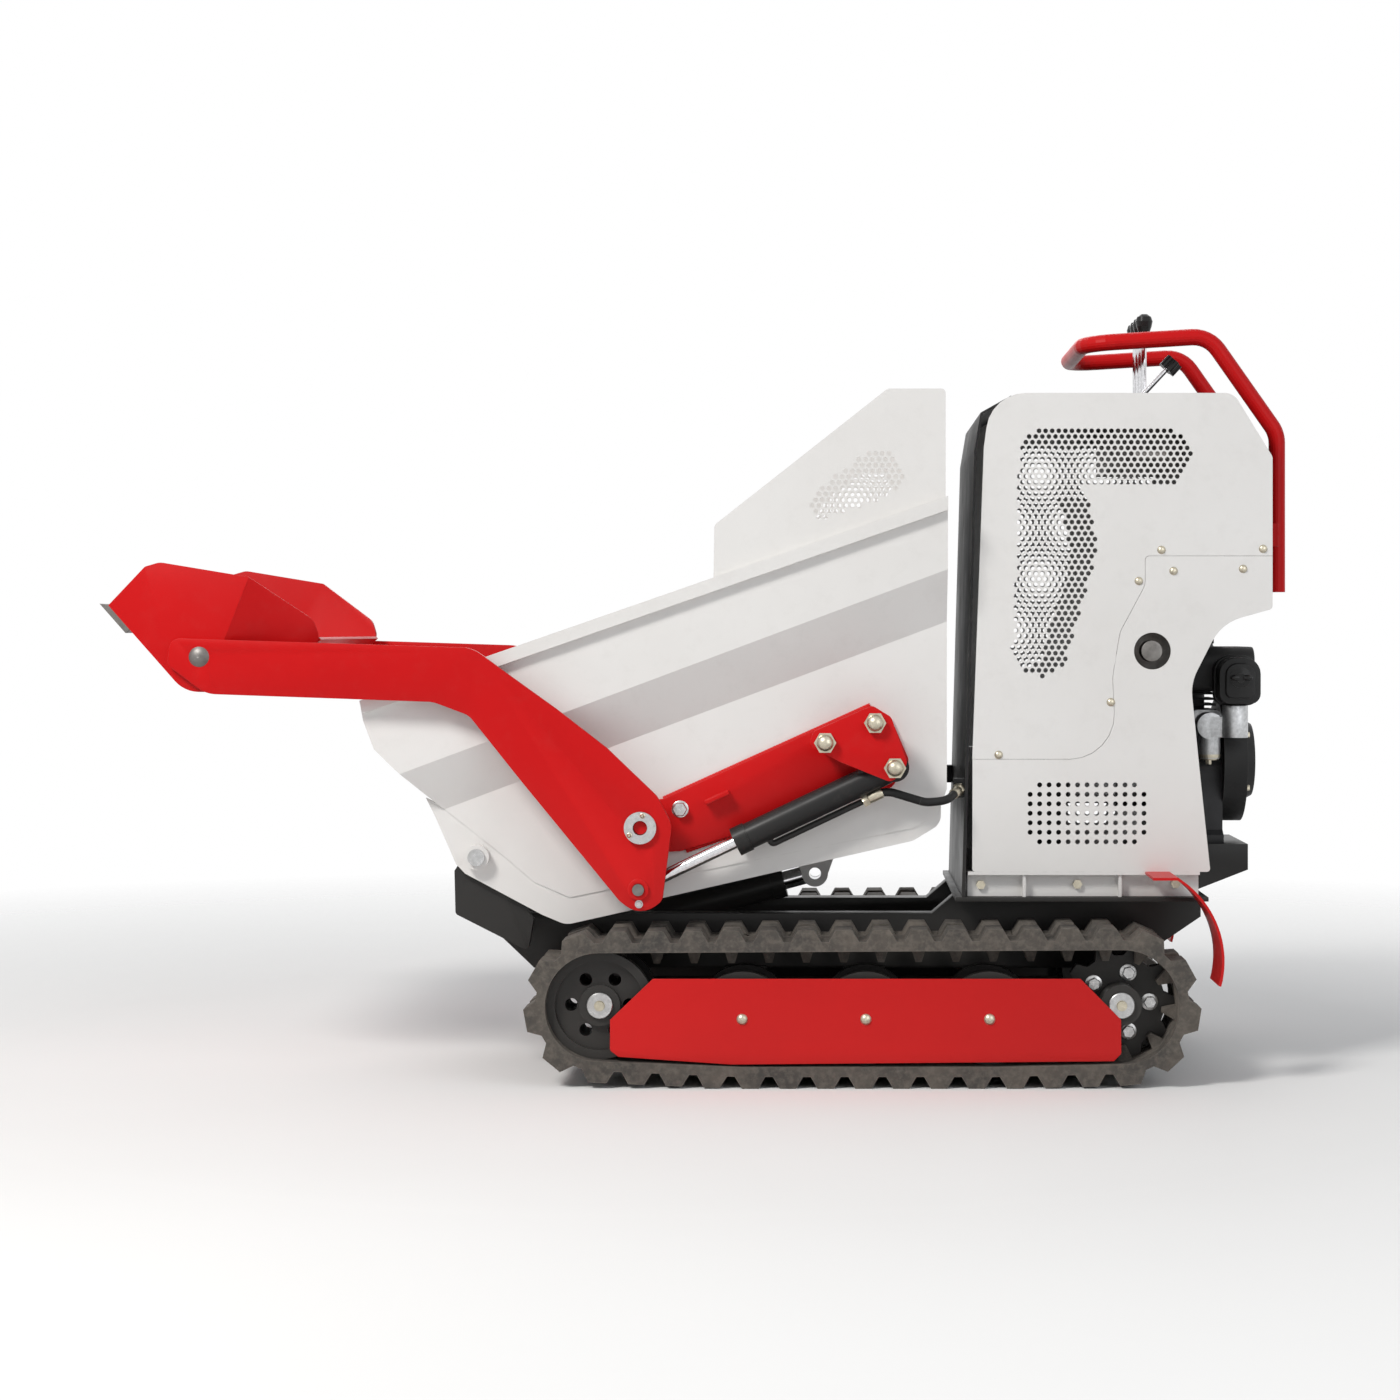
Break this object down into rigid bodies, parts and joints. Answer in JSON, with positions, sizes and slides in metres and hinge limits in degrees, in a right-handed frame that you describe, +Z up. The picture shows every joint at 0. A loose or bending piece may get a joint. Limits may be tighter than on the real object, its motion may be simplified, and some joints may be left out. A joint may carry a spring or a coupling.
{
  "type": "tracked power carrier",
  "caption": "Stand-behind tracked power carrier with a forward tipping hopper, hydraulic self-loading shovel, rubber tracks and a lever console.",
  "frame": {"origin": "on the ground, under the middle of the machine's box in the pictured pose", "axes": "+Z up, +X to the operator's rear end, -X to the shovel, +Y to the right-hand side"},
  "size_m": [2.2401, 0.83, 1.473],
  "materials": {
    "white_paint": "satin powder coat",
    "red_paint": "satin powder coat",
    "black_paint": "satin",
    "track_rubber": "dusty",
    "hose_rubber": "matte",
    "zinc_plate": "yellow zinc",
    "bright_steel": "turned",
    "dark_steel": "worn",
    "chrome_rod": "polished",
    "engine_black": "cast",
    "engine_plastic": "grained",
    "bare_aluminium": "cast",
    "knob_plastic": "polished"
  },
  "bodies": {
    "chassis": {"chassis_frame": "black_paint", "track_frames": "black_paint", "left_track": "track_rubber", "right_track": "track_rubber", "track_guards": "red_paint", "mudguards": "red_paint", "upper_panels": "white_paint", "lower_panels": "white_paint", "console_cover": "black_paint", "base_flanges": "white_paint", "fasteners": "zinc_plate", "engine_block": "engine_black", "engine_shroud": "engine_plastic", "air_cleaner": "engine_plastic", "carburettor": "bare_aluminium", "muffler": "dark_steel", "fuel_tank": "engine_plastic", "hydraulic_tank": "engine_plastic", "gear_pump": "bare_aluminium", "valve_block": "dark_steel", "travel_motors": "black_paint", "handlebar": "red_paint", "hinge_pins": "bright_steel", "loader_hoses": "hose_rubber"},
    "hopper": {"hopper": "white_paint", "splash_guard": "white_paint", "loader_mounts": "red_paint", "cylinder_brackets": "red_paint", "bracket_nuts": "zinc_plate", "arm_pivots": "bright_steel"},
    "loader_arms": {"lift_arms": "red_paint", "shovel": "red_paint", "cutting_edge": "dark_steel", "arm_bolts": "dark_steel"},
    "left_barrel": {"left_barrel": "black_paint"},
    "right_barrel": {"right_barrel": "black_paint"},
    "left_rod": {"left_rod": "chrome_rod"},
    "right_rod": {"right_rod": "chrome_rod"},
    "tip_barrel": {"tip_barrel": "black_paint"},
    "tip_rod": {"tip_rod": "chrome_rod"},
    "left_sprocket": {"left_sprocket": "black_paint"},
    "right_sprocket": {"right_sprocket": "black_paint"},
    "left_idler": {"left_idler": "black_paint"},
    "right_idler": {"right_idler": "black_paint"},
    "lever_1": {"lever_1": "chrome_rod", "knob_1": "knob_plastic"},
    "lever_2": {"lever_2": "chrome_rod", "knob_2": "knob_plastic"},
    "lever_3": {"lever_3": "chrome_rod", "knob_3": "knob_plastic"},
    "lever_4": {"lever_4": "chrome_rod", "knob_4": "knob_plastic"},
    "throttle": {"throttle_lever": "chrome_rod", "throttle_knob": "knob_plastic"},
    "left_road_wheel_front": {"left_road_wheel_front": "black_paint"},
    "left_road_wheel_mid": {"left_road_wheel_mid": "black_paint"},
    "left_road_wheel_rear": {"left_road_wheel_rear": "black_paint"},
    "right_road_wheel_front": {"right_road_wheel_front": "black_paint"},
    "right_road_wheel_mid": {"right_road_wheel_mid": "black_paint"},
    "right_road_wheel_rear": {"right_road_wheel_rear": "black_paint"}
  },
  "joints": [
    {"name": "hopper_tip", "type": "hinge", "parent": "chassis", "child": "hopper", "pos_m": [-0.425, 0, 0.42], "axis": [0, -1, 0], "range_deg": [0, 60], "deforming": ["loader_hoses"]},
    {"name": "loader_arm", "type": "hinge", "parent": "hopper", "child": "loader_arms", "pos_m": [-0.111, 0, 0.481], "axis": [0, 1, 0], "range_deg": [-48, 65]},
    {"name": "left_barrel_swing", "type": "hinge", "parent": "hopper", "child": "left_barrel", "pos_m": [0.363, -0.343, 0.592], "axis": [0, 1, 0], "range_deg": [-8, 8]},
    {"name": "left_rod_slide", "type": "slide", "parent": "left_barrel", "child": "left_rod", "axis": [-0.9039, 0, -0.4278], "range_m": [-0.075, 0.1]},
    {"name": "right_barrel_swing", "type": "hinge", "parent": "hopper", "child": "right_barrel", "pos_m": [0.363, 0.343, 0.592], "axis": [0, 1, 0], "range_deg": [-8, 8]},
    {"name": "right_rod_slide", "type": "slide", "parent": "right_barrel", "child": "right_rod", "axis": [-0.9039, 0, -0.4278], "range_m": [-0.075, 0.1]},
    {"name": "tip_barrel_swing", "type": "hinge", "parent": "chassis", "child": "tip_barrel", "pos_m": [-0.26, 0, 0.235], "axis": [0, -1, 0], "range_deg": [0, 70]},
    {"name": "tip_rod_slide", "type": "slide", "parent": "tip_barrel", "child": "tip_rod", "axis": [0.9646, 0, 0.2636], "range_m": [0, 0.32]},
    {"name": "left_drive", "type": "hinge", "parent": "chassis", "child": "left_sprocket", "pos_m": [0.784, -0.325, 0.151], "axis": [0, 1, 0], "continuous": true},
    {"name": "left_idler_spin", "type": "hinge", "parent": "chassis", "child": "left_idler", "pos_m": [-0.186, -0.325, 0.151], "axis": [0, 1, 0], "continuous": true},
    {"name": "left_road_front_spin", "type": "hinge", "parent": "chassis", "child": "left_road_wheel_front", "pos_m": [0.079, -0.325, 0.127], "axis": [0, 1, 0], "continuous": true},
    {"name": "left_road_mid_spin", "type": "hinge", "parent": "chassis", "child": "left_road_wheel_mid", "pos_m": [0.3085, -0.325, 0.127], "axis": [0, 1, 0], "continuous": true},
    {"name": "left_road_rear_spin", "type": "hinge", "parent": "chassis", "child": "left_road_wheel_rear", "pos_m": [0.538, -0.325, 0.127], "axis": [0, 1, 0], "continuous": true},
    {"name": "right_drive", "type": "hinge", "parent": "chassis", "child": "right_sprocket", "pos_m": [0.784, 0.325, 0.151], "axis": [0, 1, 0], "continuous": true},
    {"name": "right_idler_spin", "type": "hinge", "parent": "chassis", "child": "right_idler", "pos_m": [-0.186, 0.325, 0.151], "axis": [0, 1, 0], "continuous": true},
    {"name": "right_road_front_spin", "type": "hinge", "parent": "chassis", "child": "right_road_wheel_front", "pos_m": [0.079, 0.325, 0.127], "axis": [0, 1, 0], "continuous": true},
    {"name": "right_road_mid_spin", "type": "hinge", "parent": "chassis", "child": "right_road_wheel_mid", "pos_m": [0.3085, 0.325, 0.127], "axis": [0, 1, 0], "continuous": true},
    {"name": "right_road_rear_spin", "type": "hinge", "parent": "chassis", "child": "right_road_wheel_rear", "pos_m": [0.538, 0.325, 0.127], "axis": [0, 1, 0], "continuous": true},
    {"name": "lever_1_tilt", "type": "hinge", "parent": "chassis", "child": "lever_1", "pos_m": [0.862, -0.078, 1.262], "axis": [0, 1, 0], "range_deg": [-15, 15], "stiffness_Nm_per_rad": 4},
    {"name": "lever_2_tilt", "type": "hinge", "parent": "chassis", "child": "lever_2", "pos_m": [0.862, -0.026, 1.262], "axis": [0, 1, 0], "range_deg": [-15, 15], "stiffness_Nm_per_rad": 4},
    {"name": "lever_3_tilt", "type": "hinge", "parent": "chassis", "child": "lever_3", "pos_m": [0.862, 0.026, 1.262], "axis": [0, 1, 0], "range_deg": [-15, 15], "stiffness_Nm_per_rad": 4},
    {"name": "lever_4_tilt", "type": "hinge", "parent": "chassis", "child": "lever_4", "pos_m": [0.862, 0.078, 1.262], "axis": [0, 1, 0], "range_deg": [-15, 15], "stiffness_Nm_per_rad": 4},
    {"name": "throttle_tilt", "type": "hinge", "parent": "chassis", "child": "throttle", "pos_m": [0.822, -0.15, 1.276], "axis": [0, 1, 0], "range_deg": [-25, 20]}
  ],
  "couplings": [
    {"joint": "left_barrel_swing", "follows": "loader_arm", "ratio": 0.1},
    {"joint": "left_rod_slide", "follows": "loader_arm", "m_per_rad": 0.08308},
    {"joint": "right_barrel_swing", "follows": "loader_arm", "ratio": 0.1},
    {"joint": "right_rod_slide", "follows": "loader_arm", "m_per_rad": 0.08308},
    {"joint": "tip_barrel_swing", "follows": "hopper_tip", "ratio": 0.98007},
    {"joint": "tip_rod_slide", "follows": "hopper_tip", "m_per_rad": 0.23642},
    {"joint": "left_idler_spin", "follows": "left_drive", "ratio": 1.056},
    {"joint": "left_road_front_spin", "follows": "left_drive", "ratio": 1.2138},
    {"joint": "left_road_mid_spin", "follows": "left_drive", "ratio": 1.2138},
    {"joint": "left_road_rear_spin", "follows": "left_drive", "ratio": 1.2138},
    {"joint": "right_idler_spin", "follows": "right_drive", "ratio": 1.056},
    {"joint": "right_road_front_spin", "follows": "right_drive", "ratio": 1.2138},
    {"joint": "right_road_mid_spin", "follows": "right_drive", "ratio": 1.2138},
    {"joint": "right_road_rear_spin", "follows": "right_drive", "ratio": 1.2138}
  ]
}
